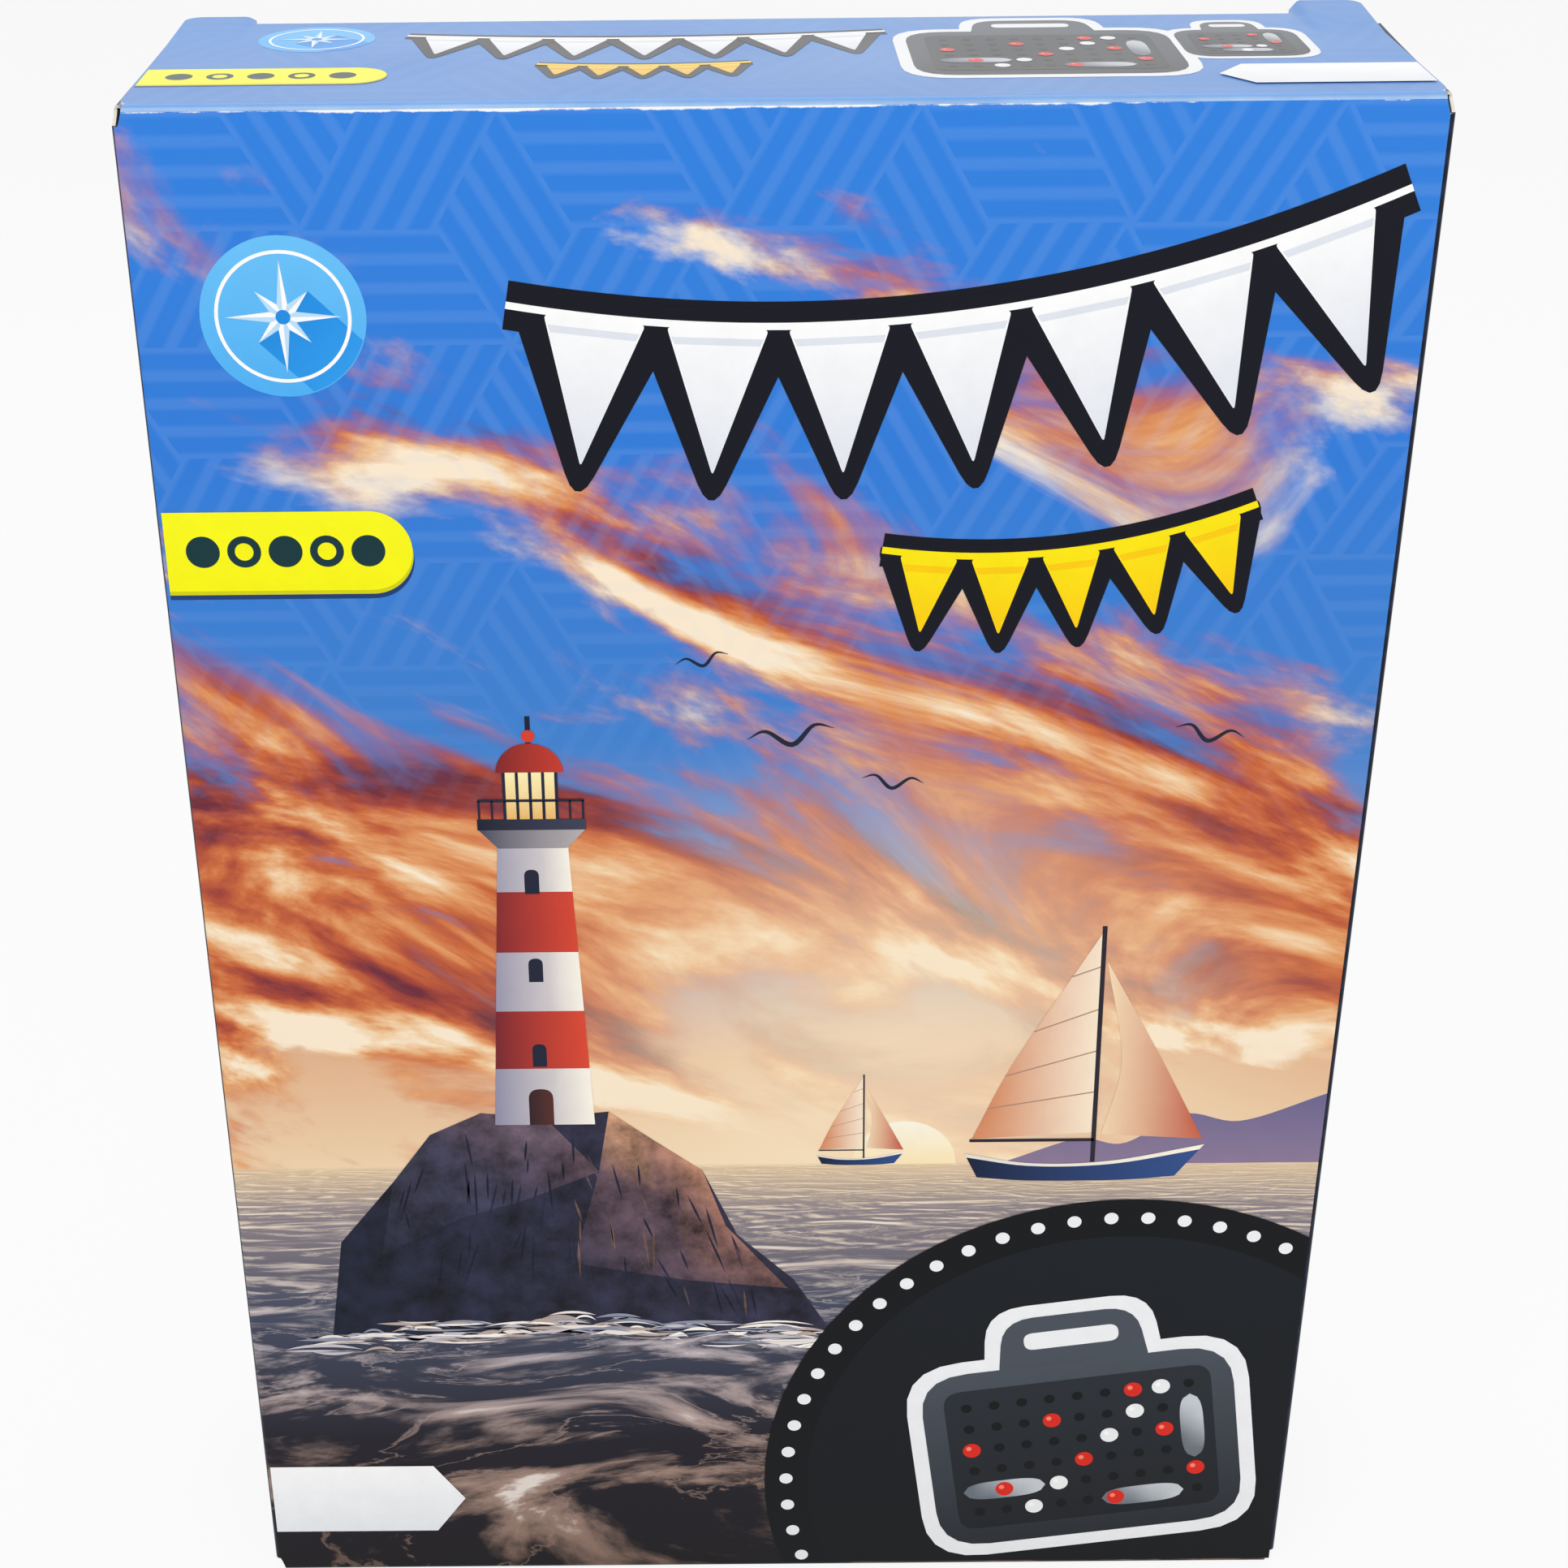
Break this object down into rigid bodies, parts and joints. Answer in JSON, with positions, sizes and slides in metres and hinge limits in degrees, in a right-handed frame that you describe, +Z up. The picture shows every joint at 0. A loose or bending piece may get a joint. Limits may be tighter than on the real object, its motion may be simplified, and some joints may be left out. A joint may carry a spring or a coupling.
{
  "type": "boxed tabletop guessing game",
  "caption": "Printed tuck-end carton that stands on end and holds folding peg-board cases with handles, ships, pegs and a rules leaflet.",
  "frame": {"origin": "centre of the carton's footprint, on the surface it stands on", "axes": "+Z up along the tall side, front panel facing -Y, +X to the right of someone facing the front"},
  "size_m": [0.19, 0.058, 0.278],
  "materials": {
    "printed_board": "gloss-coated solid folding boxboard, printed",
    "side_board": "gloss-coated solid folding boxboard, printed dark navy",
    "flap_board": "coated solid folding boxboard, white",
    "leaflet_paper": "uncoated paper, folded",
    "case_plastic": "fine-textured moulded polystyrene",
    "grid_plastic": "fine-textured moulded polystyrene",
    "rod_steel": "drawn wire",
    "latch_plastic": "moulded",
    "ship_plastic": "moulded polystyrene",
    "red_plastic": "moulded",
    "white_plastic": "moulded"
  },
  "bodies": {
    "carton": {"front_panel": "printed_board", "back_panel": "printed_board", "left_panel": "side_board", "right_panel": "side_board", "glue_flap": "flap_board", "rules_leaflet": "leaflet_paper"},
    "top_lid": {"top_lid": "printed_board"},
    "top_tongue": {"top_tongue": "printed_board"},
    "top_dust_left": {"top_dust_left": "flap_board"},
    "top_dust_right": {"top_dust_right": "flap_board"},
    "bottom_lid": {"bottom_lid": "printed_board"},
    "bottom_tongue": {"bottom_tongue": "printed_board"},
    "bottom_dust_left": {"bottom_dust_left": "flap_board"},
    "bottom_dust_right": {"bottom_dust_right": "flap_board"},
    "front_case": {"front_case_base_shell": "case_plastic", "front_case_five_hole_ship": "ship_plastic", "front_case_four_hole_ship": "ship_plastic", "front_case_hinge_rod": "rod_steel", "front_case_latch_left": "latch_plastic", "front_case_latch_right": "latch_plastic", "front_case_lid_shell": "case_plastic", "front_case_ocean_board": "grid_plastic", "front_case_red_pegs": "red_plastic", "front_case_target_board": "grid_plastic", "front_case_three_hole_ship_a": "ship_plastic", "front_case_three_hole_ship_b": "ship_plastic", "front_case_two_hole_ship": "ship_plastic", "front_case_white_pegs": "white_plastic"},
    "rear_case": {"rear_case_base_shell": "case_plastic", "rear_case_five_hole_ship": "ship_plastic", "rear_case_four_hole_ship": "ship_plastic", "rear_case_hinge_rod": "rod_steel", "rear_case_latch_left": "latch_plastic", "rear_case_latch_right": "latch_plastic", "rear_case_lid_shell": "case_plastic", "rear_case_ocean_board": "grid_plastic", "rear_case_red_pegs": "red_plastic", "rear_case_target_board": "grid_plastic", "rear_case_three_hole_ship_a": "ship_plastic", "rear_case_three_hole_ship_b": "ship_plastic", "rear_case_two_hole_ship": "ship_plastic", "rear_case_white_pegs": "white_plastic"}
  },
  "joints": [
    {"name": "top_lid_fold", "type": "hinge", "parent": "carton", "child": "top_lid", "pos_m": [0, -0.02875, 0.27775], "axis": [1, 0, 0], "range_deg": [0, 180]},
    {"name": "top_tongue_fold", "type": "hinge", "parent": "top_lid", "child": "top_tongue", "pos_m": [0, 0.02575, 0.27775], "axis": [1, 0, 0], "range_deg": [0, 48]},
    {"name": "top_dust_left_fold", "type": "hinge", "parent": "carton", "child": "top_dust_left", "pos_m": [-0.09475, 0, 0.277], "axis": [0, -1, 0], "range_deg": [0, 96]},
    {"name": "top_dust_right_fold", "type": "hinge", "parent": "carton", "child": "top_dust_right", "pos_m": [0.09475, 0, 0.277], "axis": [0, 1, 0], "range_deg": [0, 96]},
    {"name": "bottom_lid_fold", "type": "hinge", "parent": "carton", "child": "bottom_lid", "pos_m": [0, -0.02875, 0.00025], "axis": [-1, 0, 0], "range_deg": [0, 179.98]},
    {"name": "bottom_tongue_fold", "type": "hinge", "parent": "bottom_lid", "child": "bottom_tongue", "pos_m": [0, 0.02575, 0.00025], "axis": [-1, 0, 0], "range_deg": [0, 48]},
    {"name": "bottom_dust_left_fold", "type": "hinge", "parent": "carton", "child": "bottom_dust_left", "pos_m": [-0.09475, 0, 0.001], "axis": [0, 1, 0], "range_deg": [0, 96]},
    {"name": "bottom_dust_right_fold", "type": "hinge", "parent": "carton", "child": "bottom_dust_right", "pos_m": [0.09475, 0, 0.001], "axis": [0, -1, 0], "range_deg": [0, 96]},
    {"name": "rear_case_lift", "type": "slide", "parent": "carton", "child": "rear_case", "axis": [0, 0, 1], "range_m": [0, 0.0723]},
    {"name": "front_case_lift", "type": "slide", "parent": "carton", "child": "front_case", "axis": [0, 0, 1], "range_m": [0, 0.0488]}
  ],
  "couplings": [
    {"joint": "top_lid_fold", "follows": "rear_case_lift", "rad_per_m": 43.45},
    {"joint": "top_tongue_fold", "follows": "rear_case_lift", "rad_per_m": 10.863},
    {"joint": "top_dust_left_fold", "follows": "rear_case_lift", "rad_per_m": 21.725},
    {"joint": "top_dust_right_fold", "follows": "rear_case_lift", "rad_per_m": 21.725},
    {"joint": "bottom_tongue_fold", "follows": "bottom_lid_fold", "ratio": 0.25},
    {"joint": "bottom_dust_left_fold", "follows": "bottom_lid_fold", "ratio": 0.5},
    {"joint": "bottom_dust_right_fold", "follows": "bottom_lid_fold", "ratio": 0.5},
    {"joint": "front_case_lift", "follows": "rear_case_lift", "ratio": 0.67391}
  ]
}
